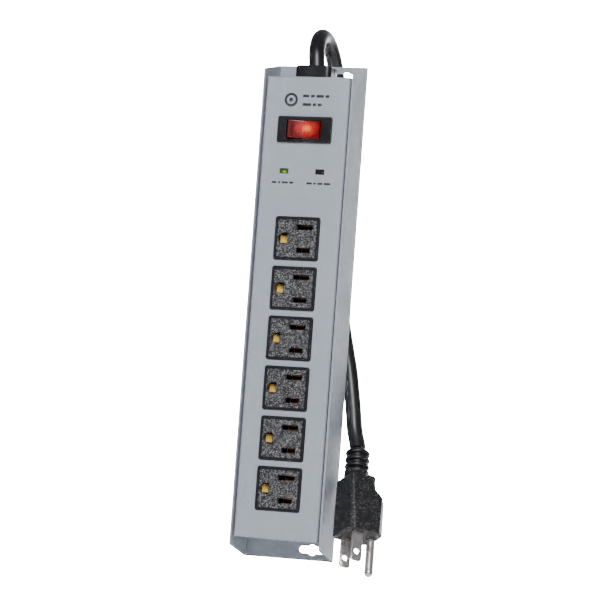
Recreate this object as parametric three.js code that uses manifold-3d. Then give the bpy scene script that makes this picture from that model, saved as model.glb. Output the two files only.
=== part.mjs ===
// A six-outlet metal power strip with a lit rocker switch, two indicator windows,
// surge protection, a bound hank of supply cord and its grounded plug.
// Units are millimetres. X runs to the right, Y to the back and Z up along the strip.
// The origin is the middle of the back plate's rear face.
import * as THREE from "three";
import { mergeVertices } from "three/addons/utils/BufferGeometryUtils.js";
import Module from "manifold-3d";

const wasm = await Module();
wasm.setup();

// Driving dimensions
const GAP = 0.3; // left between pieces that touch
const SHEET = 1.0; // steel sheet of base and cover

const BASE_WIDTH = 52.5;
const BASE_LENGTH = 278.2;
const BASE_DEPTH = 28.4;
const BASE_BEND = 1.6; // outside radius of the bent rear edges
const WALL_FRONT_LENGTH = 265.4; // side walls at their front edge, before the slanted ends
const KEYHOLE_X = 13.6;
const KEYHOLE_FROM_END = 6;
const KEYHOLE_RADIUS = 3.05;
const KEYHOLE_SLOT = { length: 15.2, width: 3.9 };

const COVER_WIDTH = 48.2;
const COVER_LENGTH = 256.8;
const COVER_BEND = 1.4; // outside radius of the bent long edges
const COVER_FLANGE_DEPTH = 11;
const COVER_FOOT = 9; // inward feet of the end flanges, riveted to the back plate

const OUTLET_COUNT = 6;
const OUTLET_PITCH = 27.7;
const FIRST_OUTLET_Z = 37.8;
const OUTLET_FACE = { width: 25.5, height: 24, corner: 1.2, proud: 0.7 };
const OUTLET_BODY = { width: 29, height: 27.2, rear: -14 };
const SLOT_X = 4.1;
const SLOT_Z = 6.35; // half the distance between the two blade slots
const NEUTRAL_SLOT = { width: 9.4, height: 2.8 };
const HOT_SLOT = { width: 8, height: 2.8 };
const GROUND_HOLE = { x: -7.8, radius: 3.1, depth: 5.6 };

const BUS = { width: 5.4, sheet: 0.8, y: -8.8, below: 11, above: 13 };
const LEAF = { width: 6, sheet: 0.6, front: -24.4, halfGap: 1.1 };
const HOT_BUS_X = 7.2;
const NEUTRAL_BUS_X = 0.6;

const SWITCH = { x: 0.2, z: 98.6, width: 31.4, height: 14.6, flange: 1.3 };
const SWITCH_BODY = { width: 25.2, height: 12.4, rear: -13, floor: 2 };
const ROCKER = { x: -0.4, halfLength: 9.2, height: 9.7, pivotY: -27.5, flush: 2.7 };
const ROCKER_TILT = THREE.MathUtils.degToRad(10); // each way from the middle

const LENS = { width: 4.6, height: 2.4, z: 75.3, greenX: -10.3, darkX: 10.4 };
const BOARD = { width: 38, bottom: 55, top: 89, front: -14, sheet: 1.6 };

const CORD_DIAMETER = 9;
const CORD_RADIUS = CORD_DIAMETER / 2;
const CORD_Y = -14.2; // where the cord enters, half-way through the depth
const STRAIN_RELIEF = { width: 20.6, depth: 15.4, height: 7.8, corner: 2.6, neck: 6.9 };
const HANK = { x: -8.5, foldRadius: 17.2, halfRun: 86, waist: 9.3, nearY: 4, farY: 31.6 };
const TIE = { sheet: 1.2, halfHeight: 4 };

const PLUG_PLACE = new THREE.Vector3(41.2, -20, -122.6); // between the blades, on the pin face
const PLUG_CORD_WAY = new THREE.Vector3(-0.106, 0.379, 0.919);
const PLUG_GROUND_WAY = new THREE.Vector3(0.733, 0.654, -0.185);
const PLUG = {
  halfThickness: 11.5,
  topHalfThickness: 9.5,
  back: -7.2,
  front: 15.3,
  topFront: 7.6,
  height: 35,
  stepBottom: 19.5, // the ground side steps in between these two heights
  stepTop: 26,
};
const PLUG_AXIS_Y = (PLUG.back + PLUG.topFront) / 2; // the cord's line through the plug
const BLADE = { width: 6.4, sheet: 1.5, length: 17.2, taper: 1.6, root: 5.5, hole: 1.6, holeFromFace: 11.7 };
const GROUND_PIN = { radius: 2.5, length: 21.8, root: 5.2 };
const PIN_SPACING = 12.7;
const GROUND_PIN_OFFSET = 11.9;

// Materials
const paint = { color: 0xa7afb6, roughness: 0.42, metalness: 0.25 };
const blackPlastic = { color: 0x1d1d1f, roughness: 0.55, metalness: 0 };
const blackRubber = { color: 0x18181a, roughness: 0.48, metalness: 0 };
const brass = { color: 0xc9a24e, roughness: 0.3, metalness: 1 };
const steel = { color: 0xb4b6b8, roughness: 0.3, metalness: 1 };
const nickel = { color: 0xd2d0ca, roughness: 0.2, metalness: 1 };
const redLens = { color: 0xd8240f, roughness: 0.15, metalness: 0 };
const greenLens = { color: 0x37c463, roughness: 0.2, metalness: 0 };
const smokedLens = { color: 0x23262a, roughness: 0.2, metalness: 0 };
const boardGreen = { color: 0x2d6a3e, roughness: 0.5, metalness: 0 };
const blueCeramic = { color: 0x2f5fa8, roughness: 0.35, metalness: 0 };
const fishPaper = { color: 0xb9b6a6, roughness: 0.85, metalness: 0 };
const clearGlass = { color: 0xe8d9c8, roughness: 0.08, metalness: 0 };
const whiteNylon = { color: 0xdedbd2, roughness: 0.5, metalness: 0 };
const greenWire = { color: 0x2b7a3a, roughness: 0.45, metalness: 0 };
const whiteWire = { color: 0xd9d7cf, roughness: 0.45, metalness: 0 };

const strip = new THREE.Group();

// Turns a three.js geometry into a manifold-3d solid.
function solid(geometry) {
  const bare = geometry.clone();
  bare.deleteAttribute("normal");
  bare.deleteAttribute("uv");
  const merged = mergeVertices(bare, 1e-4);
  return new wasm.Manifold(
    new wasm.Mesh({
      numProp: 3,
      vertProperties: merged.attributes.position.array,
      triVerts: new Uint32Array(merged.index.array),
    }),
  );
}

// Turns a manifold-3d solid back into a three.js geometry.
function geometryOf(body) {
  const mesh = body.getMesh();
  const geometry = new THREE.BufferGeometry();
  geometry.setAttribute("position", new THREE.BufferAttribute(mesh.vertProperties, 3));
  geometry.setIndex(new THREE.BufferAttribute(mesh.triVerts, 1));
  const flat = geometry.toNonIndexed();
  flat.computeVertexNormals();
  return flat;
}

function join(first, ...others) {
  return geometryOf(others.reduce((body, other) => body.add(solid(other)), solid(first)));
}

function cut(whole, ...tools) {
  return geometryOf(tools.reduce((body, tool) => body.subtract(solid(tool)), solid(whole)));
}

function addPiece(name, geometry, look, parent = strip) {
  const mesh = new THREE.Mesh(geometry, new THREE.MeshStandardMaterial(look));
  mesh.name = name;
  parent.add(mesh);
  return mesh;
}

// A box between two corners.
function box([x0, y0, z0], [x1, y1, z1]) {
  const geometry = new THREE.BoxGeometry(x1 - x0, y1 - y0, z1 - z0);
  return geometry.translate((x0 + x1) / 2, (y0 + y1) / 2, (z0 + z1) / 2);
}

function extrude(shape, depth, curveSegments = 6) {
  return new THREE.ExtrudeGeometry(shape, { depth, bevelEnabled: false, curveSegments });
}

// An outline drawn in X and Z, extruded along Y from yFront to yRear.
function prismAlongY(shape, yFront, yRear, curveSegments = 6) {
  const geometry = extrude(shape, yRear - yFront, curveSegments);
  return geometry.rotateX(Math.PI / 2).translate(0, yRear, 0);
}

// An outline drawn in Y and Z, extruded along X from xLeft to xRight.
function prismAlongX(shape, xLeft, xRight, curveSegments = 6) {
  const geometry = extrude(shape, xRight - xLeft, curveSegments);
  const turn = new THREE.Matrix4().makeBasis(
    new THREE.Vector3(0, 1, 0),
    new THREE.Vector3(0, 0, 1),
    new THREE.Vector3(1, 0, 0),
  );
  return geometry.applyMatrix4(turn).translate(xLeft, 0, 0);
}

function outline(points) {
  return new THREE.Shape(points.map(([x, y]) => new THREE.Vector2(x, y)));
}

function roundedRectangle(width, height, corner, x = 0, y = 0) {
  const shape = new THREE.Shape();
  const right = x + width / 2 - corner;
  const left = x - width / 2 + corner;
  const top = y + height / 2 - corner;
  const bottom = y - height / 2 + corner;
  shape.absarc(right, top, corner, 0, Math.PI / 2);
  shape.absarc(left, top, corner, Math.PI / 2, Math.PI);
  shape.absarc(left, bottom, corner, Math.PI, 1.5 * Math.PI);
  shape.absarc(right, bottom, corner, 1.5 * Math.PI, 2 * Math.PI);
  shape.closePath();
  return shape;
}

// A round rod along Y, X or Z, centred across its length on (x, y, z).
function rod(axis, radius, length, [x, y, z], sides = 20) {
  const geometry = new THREE.CylinderGeometry(radius, radius, length, sides);
  if (axis === "x") geometry.rotateZ(Math.PI / 2);
  if (axis === "z") geometry.rotateX(Math.PI / 2);
  return geometry.translate(x, y, z);
}

// A round tube's solid along a smooth curve through the points.
function cable(points, radius, steps, sides = 12) {
  const path = new THREE.CatmullRomCurve3(points.map((p) => new THREE.Vector3(...p)));
  const section = new THREE.Shape();
  for (let i = 0; i < sides; i += 1) {
    const angle = (2 * Math.PI * i) / sides;
    const corner = new THREE.Vector2(radius * Math.cos(angle), radius * Math.sin(angle));
    if (i === 0) section.moveTo(corner.x, corner.y);
    else section.lineTo(corner.x, corner.y);
  }
  section.closePath();
  return new THREE.ExtrudeGeometry(section, { steps, extrudePath: path, curveSegments: 1 });
}

// Base: a steel channel whose back plate runs past the cover as two keyhole tabs.
function keyholeCutters(z) {
  const slot = roundedRectangle(KEYHOLE_SLOT.length, KEYHOLE_SLOT.width, 1.9, KEYHOLE_X, z);
  return [
    prismAlongY(slot, -SHEET - 1, 1, 4),
    rod("y", KEYHOLE_RADIUS, 4, [KEYHOLE_X, 0, z], 24),
  ];
}

const RIVET_X = 17.5;
const RIVET_Z = COVER_LENGTH / 2 - 6;
const rivetPlaces = [
  [RIVET_X, RIVET_Z],
  [-RIVET_X, RIVET_Z],
  [RIVET_X, -RIVET_Z],
  [-RIVET_X, -RIVET_Z],
];
const RIVET_RADIUS = 1.6;
const GROUND_SCREW = { x: -16.5, z: 108, radius: 1.7 };

function baseSection() {
  const half = BASE_WIDTH / 2;
  const bendX = half - BASE_BEND;
  const inner = BASE_BEND - SHEET;
  const shape = new THREE.Shape();
  shape.moveTo(-half, -BASE_DEPTH);
  shape.lineTo(-half + SHEET, -BASE_DEPTH);
  shape.absarc(-bendX, -BASE_BEND, inner, Math.PI, Math.PI / 2, true);
  shape.absarc(bendX, -BASE_BEND, inner, Math.PI / 2, 0, true);
  shape.lineTo(half - SHEET, -BASE_DEPTH);
  shape.lineTo(half, -BASE_DEPTH);
  shape.absarc(bendX, -BASE_BEND, BASE_BEND, 0, Math.PI / 2);
  shape.absarc(-bendX, -BASE_BEND, BASE_BEND, Math.PI / 2, Math.PI);
  shape.closePath();
  return shape;
}

// Cuts one end so that the side walls lean back from their front edge to the back plate.
function slantCutter(way) {
  const rear = (way * BASE_LENGTH) / 2;
  const front = (way * WALL_FRONT_LENGTH) / 2;
  const slope = (rear - front) / BASE_DEPTH;
  const beyond = rear + way * 5;
  const wedge = outline([
    [1, rear + slope],
    [-BASE_DEPTH - 1, front - slope],
    [-BASE_DEPTH - 1, beyond],
    [1, beyond],
  ]);
  return prismAlongX(wedge, -BASE_WIDTH, BASE_WIDTH);
}

function baseChannel() {
  const channel = extrude(baseSection(), BASE_LENGTH, 5).translate(0, 0, -BASE_LENGTH / 2);
  const keyholeZ = BASE_LENGTH / 2 - KEYHOLE_FROM_END;
  const holes = rivetPlaces.map(([x, z]) => rod("y", RIVET_RADIUS + GAP, 4, [x, 0, z], 16));
  const { x: screwX, z: screwZ, radius: screwRadius } = GROUND_SCREW;
  const screwHole = rod("y", screwRadius + GAP, 4, [screwX, 0, screwZ], 16);
  return cut(
    channel,
    slantCutter(1),
    slantCutter(-1),
    ...keyholeCutters(keyholeZ),
    ...keyholeCutters(-keyholeZ),
    ...holes,
    screwHole,
  );
}

// Cover: face, bent long edges, full-depth end flanges and inward feet.
function outletZ(index) {
  return FIRST_OUTLET_Z - OUTLET_PITCH * index;
}

function coverSection() {
  const half = COVER_WIDTH / 2;
  const face = -BASE_DEPTH;
  const edge = face + COVER_FLANGE_DEPTH;
  const inner = COVER_BEND - SHEET;
  const shape = new THREE.Shape();
  shape.moveTo(-half, edge);
  shape.absarc(-half + COVER_BEND, face + COVER_BEND, COVER_BEND, Math.PI, 1.5 * Math.PI);
  shape.absarc(half - COVER_BEND, face + COVER_BEND, COVER_BEND, 1.5 * Math.PI, 2 * Math.PI);
  shape.lineTo(half, edge);
  shape.lineTo(half - SHEET, edge);
  shape.absarc(half - COVER_BEND, face + COVER_BEND, inner, 2 * Math.PI, 1.5 * Math.PI, true);
  shape.absarc(-half + COVER_BEND, face + COVER_BEND, inner, 1.5 * Math.PI, Math.PI, true);
  shape.lineTo(-half + SHEET, edge);
  shape.closePath();
  return shape;
}

// A box cut through the cover's face around a rectangle centred on (x, z).
function faceWindow(x, z, width, height) {
  return box(
    [x - width / 2 - GAP, -BASE_DEPTH - 1, z - height / 2 - GAP],
    [x + width / 2 + GAP, -BASE_DEPTH + 3, z + height / 2 + GAP],
  );
}

// End flange across the whole section, with its foot turned inward against the back plate.
function coverEnd(way) {
  const end = COVER_LENGTH / 2;
  const half = COVER_WIDTH / 2;
  const rear = -SHEET - GAP;
  const outer = way * end;
  const inner = way * (end - SHEET);
  const footEnd = way * (end - COVER_FOOT);
  const section = roundedRectangle(COVER_WIDTH, BASE_DEPTH, 0.6);
  return [
    extrude(section, SHEET).translate(0, -BASE_DEPTH / 2, Math.min(inner, outer)),
    box(
      [-half + 1, rear - SHEET, Math.min(footEnd, outer)],
      [half - 1, rear, Math.max(footEnd, outer)],
    ),
  ];
}

function frontCover() {
  const end = COVER_LENGTH / 2;
  const half = COVER_WIDTH / 2;
  const rear = -SHEET - GAP;
  const lap = 0.1; // the shell runs this far into each end flange
  const shellLength = COVER_LENGTH - 2 * (SHEET - lap);
  const shell = extrude(coverSection(), shellLength).translate(0, 0, -shellLength / 2);
  const openings = [
    box([-half - 1, rear, -end - 1], [half + 1, 1, end + 1]),
    faceWindow(SWITCH.x, SWITCH.z, SWITCH_BODY.width, SWITCH_BODY.height),
    faceWindow(LENS.greenX, LENS.z, LENS.width, LENS.height),
    faceWindow(LENS.darkX, LENS.z, LENS.width, LENS.height),
    rod("z", STRAIN_RELIEF.neck + GAP, 4, [0, CORD_Y, end - SHEET / 2], 28),
    ...rivetPlaces.map(([x, z]) => rod("y", RIVET_RADIUS + GAP, 4, [x, rear, z], 16)),
  ];
  const { width, height, corner } = OUTLET_FACE;
  for (let i = 0; i < OUTLET_COUNT; i += 1) {
    const hole = roundedRectangle(width + 2 * GAP, height + 2 * GAP, corner + GAP, 0, outletZ(i));
    openings.push(prismAlongY(hole, -BASE_DEPTH - 1, -BASE_DEPTH + 3, 3));
  }
  return cut(join(shell, ...coverEnd(1), ...coverEnd(-1)), ...openings);
}

// A headed rivet that holds a cover foot to the back plate, flush behind it.
const RIVET_HEAD = { radius: 3, height: 1 };

function coverRivet([x, z]) {
  const seat = -2 * (SHEET + GAP); // just in front of the foot
  const length = RIVET_HEAD.height - seat;
  return join(
    rod("y", RIVET_RADIUS, length, [x, -length / 2, z], 16),
    rod("y", RIVET_HEAD.radius, RIVET_HEAD.height, [x, seat - RIVET_HEAD.height / 2, z], 16),
  );
}

// A hole for a round ground pin: round towards the strip's left edge, flat to the right.
function groundHole(z, yFront, yRear) {
  const { x, radius, depth } = GROUND_HOLE;
  const flat = x + depth - radius;
  const shape = new THREE.Shape();
  shape.moveTo(flat, z - radius);
  shape.lineTo(flat, z + radius);
  shape.absarc(x, z, radius, Math.PI / 2, 1.5 * Math.PI);
  shape.closePath();
  return prismAlongY(shape, yFront, yRear, 8);
}

// Outlet: a black block whose textured face stands proud of the cover.
const OUTLET_PLATE = 1.6; // thickness of the face behind its shoulder
const BLADE_ROOM = { halfWidth: 5.4, halfHeight: 3.4 };
const GROUND_ROOM = { halfWidth: 4.6, halfHeight: 5.2 };

function outletBlock(z) {
  const front = -BASE_DEPTH - OUTLET_FACE.proud;
  const shoulder = -BASE_DEPTH + SHEET + GAP;
  const plateRear = shoulder + OUTLET_PLATE;
  const { width, height, rear } = OUTLET_BODY;
  const face = roundedRectangle(OUTLET_FACE.width, OUTLET_FACE.height, OUTLET_FACE.corner, 0, z);
  const block = join(
    prismAlongY(face, front, shoulder + 1, 3),
    box([-width / 2, shoulder, z - height / 2], [width / 2, rear, z + height / 2]),
  );
  const room = (x, roomZ, { halfWidth, halfHeight }) =>
    box([x - halfWidth, plateRear, roomZ - halfHeight], [x + halfWidth, rear + 1, roomZ + halfHeight]);
  const slot = (size, slotZ) =>
    box(
      [SLOT_X - size.width / 2, front - 1, slotZ - size.height / 2],
      [SLOT_X + size.width / 2, plateRear + 1, slotZ + size.height / 2],
    );
  return cut(
    block,
    slot(NEUTRAL_SLOT, z + SLOT_Z),
    slot(HOT_SLOT, z - SLOT_Z),
    groundHole(z, front - 1, plateRear + 1),
    room(SLOT_X, z + SLOT_Z, BLADE_ROOM),
    room(SLOT_X, z - SLOT_Z, BLADE_ROOM),
    room(GROUND_HOLE.x, z, GROUND_ROOM),
  );
}

// A pair of leaves that grip a blade, standing on a bus bar.
function bladeJaw(busX, z) {
  const busFront = BUS.y - BUS.sheet;
  const left = SLOT_X - LEAF.width / 2;
  const right = SLOT_X + LEAF.width / 2;
  const footLeft = Math.max(left, busX - BUS.width / 2);
  const footRight = Math.min(right, busX + BUS.width / 2);
  const shape = outline([
    [footLeft, BUS.y],
    [footRight, BUS.y],
    [footRight, busFront - 2],
    [right, busFront - 4],
    [right, LEAF.front],
    [left, LEAF.front],
    [left, busFront - 4],
    [footLeft, busFront - 2],
  ]);
  const leaf = (offset) => extrude(shape, LEAF.sheet).translate(0, 0, z + offset);
  return [leaf(-LEAF.halfGap - LEAF.sheet), leaf(LEAF.halfGap)];
}

function busBar(x, jawsAt) {
  const top = outletZ(0) + BUS.above;
  const bottom = outletZ(OUTLET_COUNT - 1) - BUS.below;
  const bar = box([x - BUS.width / 2, BUS.y - BUS.sheet, bottom], [x + BUS.width / 2, BUS.y, top]);
  const jaws = [];
  for (let i = 0; i < OUTLET_COUNT; i += 1) jaws.push(...jawsAt(outletZ(i)));
  return join(bar, ...jaws);
}

// Ground contact on its bus bar: a folded strip whose left leaf curls over in front into a
// springy tongue, which the ground pin pushes aside, and whose right leaf stands straight.
const GROUND_CONTACT = { left: -10.8, right: -5.3, tongue: -7.3, halfHeight: 2.2, sheet: 0.6 };

function groundContact(z) {
  const { left, right, tongue, halfHeight, sheet } = GROUND_CONTACT;
  const base = BUS.y - BUS.sheet - GAP;
  const front = LEAF.front;
  const shape = outline([
    [left, base],
    [right, base],
    [right, front + 2],
    [right - sheet, front + 2],
    [right - sheet, base - sheet],
    [left + sheet, base - sheet],
    [left + sheet, front + sheet],
    [tongue, front + 3 * sheet],
    [tongue, front + 2 * sheet],
    [left + 2 * sheet, front - sheet / 3],
    [left + sheet / 2, front - sheet / 3],
    [left, front + sheet / 3],
  ]);
  return extrude(shape, 2 * halfHeight).translate(0, 0, z - halfHeight);
}

// Moulded carrier that keeps the three bus bars apart, with a rib on each side of each.
const CARRIER_RIBS = [
  [-13, 1.2],
  [-3.6, 1.2],
  [(HOT_BUS_X + NEUTRAL_BUS_X) / 2, 0.6],
  [12, 1.2],
];

function busCarrier() {
  const top = outletZ(0) + 12;
  const bottom = outletZ(OUTLET_COUNT - 1) - 12;
  const front = BUS.y + GAP;
  const plate = box([-19, front, bottom], [19, front + 2.4, top]);
  const rib = ([x, width]) =>
    box([x - width / 2, front - 2.8, bottom], [x + width / 2, front + 1, top]);
  return join(plate, ...CARRIER_RIBS.map(rib));
}

const PIVOT_RADIUS = 1.2;
const TERMINAL = { sheet: 0.8, width: 6.2, into: 4, out: 6.4 };
const terminalPlaces = [SWITCH.x - 8, SWITCH.x, SWITCH.x + 8];

// Switch: bezel and housing in one moulding, open in front for the rocker.
function switchHousing() {
  const frontFace = -BASE_DEPTH - GAP - SWITCH.flange;
  const { width, height, rear, floor } = SWITCH_BODY;
  const bezel = roundedRectangle(SWITCH.width, SWITCH.height, 1, SWITCH.x, SWITCH.z);
  const block = join(
    prismAlongY(bezel, frontFace, -BASE_DEPTH - GAP, 3),
    box(
      [SWITCH.x - width / 2, frontFace + 0.5, SWITCH.z - height / 2],
      [SWITCH.x + width / 2, rear, SWITCH.z + height / 2],
    ),
  );
  const halfCavity = ROCKER.halfLength + 0.8;
  const cavity = box(
    [ROCKER.x - halfCavity, frontFace - 1, SWITCH.z - ROCKER.height / 2 - GAP],
    [ROCKER.x + halfCavity, rear - floor, SWITCH.z + ROCKER.height / 2 + GAP],
  );
  const pinHole = rod("z", PIVOT_RADIUS + GAP, height + 1, [ROCKER.x, ROCKER.pivotY, SWITCH.z], 16);
  const slots = terminalPlaces.map((x) =>
    box(
      [x - TERMINAL.sheet / 2 - GAP, rear - floor - 1, SWITCH.z - TERMINAL.width / 2 - GAP],
      [x + TERMINAL.sheet / 2 + GAP, rear + 1, SWITCH.z + TERMINAL.width / 2 + GAP],
    ),
  );
  return cut(block, cavity, pinHole, ...slots);
}

function switchTerminal(x) {
  const { sheet, width, into, out } = TERMINAL;
  const { rear } = SWITCH_BODY;
  return join(
    box(
      [x - sheet / 2, rear - into, SWITCH.z - width / 2],
      [x + sheet / 2, rear + out, SWITCH.z + width / 2],
    ),
    rod("x", 2.4, sheet, [x, rear - into, SWITCH.z], 16),
  );
}

// Rocker drawn level about its pivot; its two faces meet in a shallow valley, and its
// ends are arcs about the pivot, so that it clears the bezel as it tips.
function rockerGeometry() {
  const { halfLength, flush, height } = ROCKER;
  const wall = 1.2;
  const endRadius = Math.hypot(halfLength, flush);
  const topAngle = Math.atan2(flush, halfLength) + ROCKER_TILT;
  const skirtAngle = -0.22;
  const skirtX = endRadius * Math.cos(skirtAngle);
  const skirtY = -endRadius * Math.sin(skirtAngle);
  const shape = new THREE.Shape();
  shape.moveTo(0, -flush / Math.cos(ROCKER_TILT));
  shape.absarc(0, 0, endRadius, -topAngle, -skirtAngle);
  shape.lineTo(-skirtX, skirtY);
  shape.absarc(0, 0, endRadius, Math.PI + skirtAngle, Math.PI + topAngle);
  shape.closePath();
  const whole = extrude(shape, height, 8).translate(0, 0, -height / 2);
  const pocket = (way) => {
    const shapeOfPocket = outline([
      [way * 2.9, 4],
      [way * 2.9, -1.6],
      [way * (halfLength - 1.5), -2.5],
      [way * (halfLength - 1.1), 4],
    ]);
    return extrude(shapeOfPocket, height - 2 * wall).translate(0, 0, wall - height / 2);
  };
  const bore = rod("z", PIVOT_RADIUS + GAP, height + 1, [0, 0, 0], 16);
  return cut(whole, pocket(1), pocket(-1), bore);
}

function addRocker() {
  const rocker = addPiece("switch_rocker", rockerGeometry(), redLens);
  rocker.position.set(ROCKER.x, ROCKER.pivotY, SWITCH.z);
  rocker.rotation.z = ROCKER_TILT;
}

// Neon lamp under the rocker, on two wire legs that stand on the housing's floor.
function switchLamp() {
  const y = ROCKER.pivotY + 6.6;
  const floorY = SWITCH_BODY.rear - SWITCH_BODY.floor - GAP;
  const leg = (x) => rod("y", 0.35, floorY - y, [x, (floorY + y) / 2, SWITCH.z], 8);
  const bulb = rod("x", 1.5, 8.4, [SWITCH.x, y, SWITCH.z], 16);
  return join(bulb, leg(SWITCH.x - 3.4), leg(SWITCH.x + 3.4));
}

// Indicator window: a small lens in the cover with a shouldered light guide behind.
function indicatorLens(x) {
  const front = -BASE_DEPTH - 0.3;
  const shoulder = -BASE_DEPTH + SHEET + GAP;
  const { width, height, z } = LENS;
  const pane = (margin, yFront, yRear) =>
    box(
      [x - width / 2 - margin, yFront, z - height / 2 - margin],
      [x + width / 2 + margin, yRear, z + height / 2 + margin],
    );
  const guide = rod("y", 1.6, 4, [x, shoulder + 2.5, z], 16);
  return join(pane(0, front, shoulder + 0.5), pane(1, shoulder, shoulder + 1), guide);
}

function lampDie(x) {
  const base = BOARD.front - GAP;
  return join(
    rod("y", 1.9, 1, [x, base - 0.5, LENS.z], 16),
    rod("y", 1.5, 5, [x, base - 2.5, LENS.z], 16),
  );
}

// Surge board with three varistor discs and a thermal fuse standing on it.
function surgeBoard() {
  const half = BOARD.width / 2;
  return box([-half, BOARD.front, BOARD.bottom], [half, BOARD.front + BOARD.sheet, BOARD.top]);
}

const varistorPlaces = [-11, 0, 11];
const VARISTOR_Z = 62.5;
const FUSE_Z = 83.5;

function varistor(x) {
  const radius = 4.9;
  const y = BOARD.front - GAP - 1 - radius;
  const leg = (legX) =>
    box([legX - 0.3, y, VARISTOR_Z - 0.3], [legX + 0.3, BOARD.front - GAP, VARISTOR_Z + 0.3]);
  return join(rod("z", radius, 3.8, [x, y, VARISTOR_Z], 24), leg(x - 2.5), leg(x + 2.5));
}

function thermalFuse() {
  const y = BOARD.front - GAP - 2.6;
  const body = rod("x", 1.7, 12, [0, y, FUSE_Z], 16);
  const wire = rod("x", 0.4, 18, [0, y, FUSE_Z], 8);
  const leg = (x) => box([x - 0.3, y, FUSE_Z - 0.3], [x + 0.3, BOARD.front - GAP, FUSE_Z + 0.3]);
  return join(body, wire, leg(-8.6), leg(8.6));
}

// Strain relief: two moulded halves that clamp the cord in the cover's top flange.
function strainReliefHalf(way) {
  const base = COVER_LENGTH / 2;
  const { width, depth, height, corner, neck } = STRAIN_RELIEF;
  const outer = roundedRectangle(width, depth, corner, 0, CORD_Y);
  const head = extrude(outer, height - GAP, 4).translate(0, 0, base + GAP);
  const shank = rod("z", neck, 8, [0, CORD_Y, base - 2.6], 28);
  const bore = rod("z", CORD_RADIUS + GAP, 40, [0, CORD_Y, base], 24);
  const seam = CORD_Y + (way * GAP) / 2;
  const farSide = CORD_Y - way * depth;
  const otherHalf = box(
    [-width, Math.min(seam, farSide), base - 20],
    [width, Math.max(seam, farSide), base + 20],
  );
  return cut(join(head, shank), otherHalf, bore);
}

// Spring collar that locks the halves behind the flange.
function strainReliefCollar() {
  const z = COVER_LENGTH / 2 - SHEET - GAP - 1.3;
  const outer = rod("z", 9.6, 2.6, [0, CORD_Y, z], 28);
  const inner = rod("z", STRAIN_RELIEF.neck + GAP, 4, [0, CORD_Y, z], 28);
  return cut(outer, inner);
}

// Supply leads inside the housing.
const JACKET_END = 114;
const leads = {
  lead_line: {
    look: blackRubber,
    points: [
      [2.2, CORD_Y + 1.2, JACKET_END - 0.8],
      [2.6, -12.6, 111],
      [6.6, -10.2, 107],
      [7.8, -9.3, 104.4],
      [7.8, -9.2, 102.2],
    ],
  },
  lead_neutral: {
    look: whiteWire,
    points: [
      [-2.2, CORD_Y + 1.2, JACKET_END - 0.8],
      [-3.2, -12.8, 111.4],
      [-10, -12, 108.4],
      [-18, -11, 103],
      [-18.6, -9, 92],
      [-16, -8.6, 76],
      [-6, -9, 62],
      [NEUTRAL_BUS_X, BUS.y - 0.4, 54],
      [NEUTRAL_BUS_X, BUS.y - 0.4, outletZ(0) + 13.4],
    ],
  },
  lead_switched: {
    look: blackRubber,
    points: [
      [SWITCH.x, -9.2, 95],
      [1.4, -8.8, 90],
      [6, -8.4, 78],
      [HOT_BUS_X, -8.6, 64],
      [HOT_BUS_X, BUS.y - 0.4, outletZ(0) + 13.4],
    ],
  },
  lead_ground: {
    look: greenWire,
    points: [
      [0, CORD_Y - 2, JACKET_END - 0.8],
      [-0.6, -16.4, 111.4],
      [-6, -17.4, 108.2],
      [-13, -16.4, 107],
      [-17.6, -10.6, 107.4],
      [-16.5, -6, 108],
    ],
  },
};
const LEAD_RADIUS = 1.4;

// Ground screw, and the ring of the ground lead under its head.
function groundScrew() {
  const { x, z, radius } = GROUND_SCREW;
  return join(rod("y", radius, 3, [x, -1.5, z], 16), rod("y", 3.2, 1.4, [x, -3.5, z], 20));
}

function groundRing() {
  const { x, z, radius } = GROUND_SCREW;
  const ring = rod("y", 3.8, 0.8, [x, -1.9, z], 20);
  const tongue = box([x - 1.6, -2.3, z - 9], [x + 1.6, -1.5, z]);
  return cut(join(ring, tongue), rod("y", radius + GAP, 3, [x, -2, z], 16));
}

// Ground strap from the ring's tongue down to the ground bus.
function groundStrap() {
  const { x, z } = GROUND_SCREW;
  const half = 1.4;
  const top = z - 9.4;
  const foot = outletZ(0) + BUS.above + 0.6;
  const route = outline([
    [x + half, top],
    [x - half, top],
    [x - half, 58],
    [GROUND_HOLE.x - half, foot],
    [GROUND_HOLE.x + half, foot],
    [x + half, 59],
  ]);
  return prismAlongY(route, -3.6, -2.9);
}

// Cord, from its clamped end over the top and down to the hank behind the strip.
const upperCordRoute = [
  [0, CORD_Y, 114],
  [0, CORD_Y, 125],
  [0, CORD_Y, 136.2],
  [-1.2, -12.6, 145.8],
  [-2.1, -6.2, 153.6],
  [-2.2, 3.2, 156.6],
  [-1.7, 13, 153.8],
  [-0.6, 20.6, 146],
  [0.8, 24.8, 135.4],
  [3, 26.4, 122.4],
  [6.4, 27, 109.6],
];
const tailCordRoute = [
  [19.4, 10.3, -9],
  [22.1, 10, -20],
  [24.9, 9.5, -31.2],
  [27.3, 8.3, -42.4],
  [29.6, 6.4, -53.6],
  [31.8, 4, -64.2],
  [33.5, 2.4, -69.3],
  [34.9, 0.9, -72.8],
  [35.7, -0.3, -75.4],
];

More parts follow.
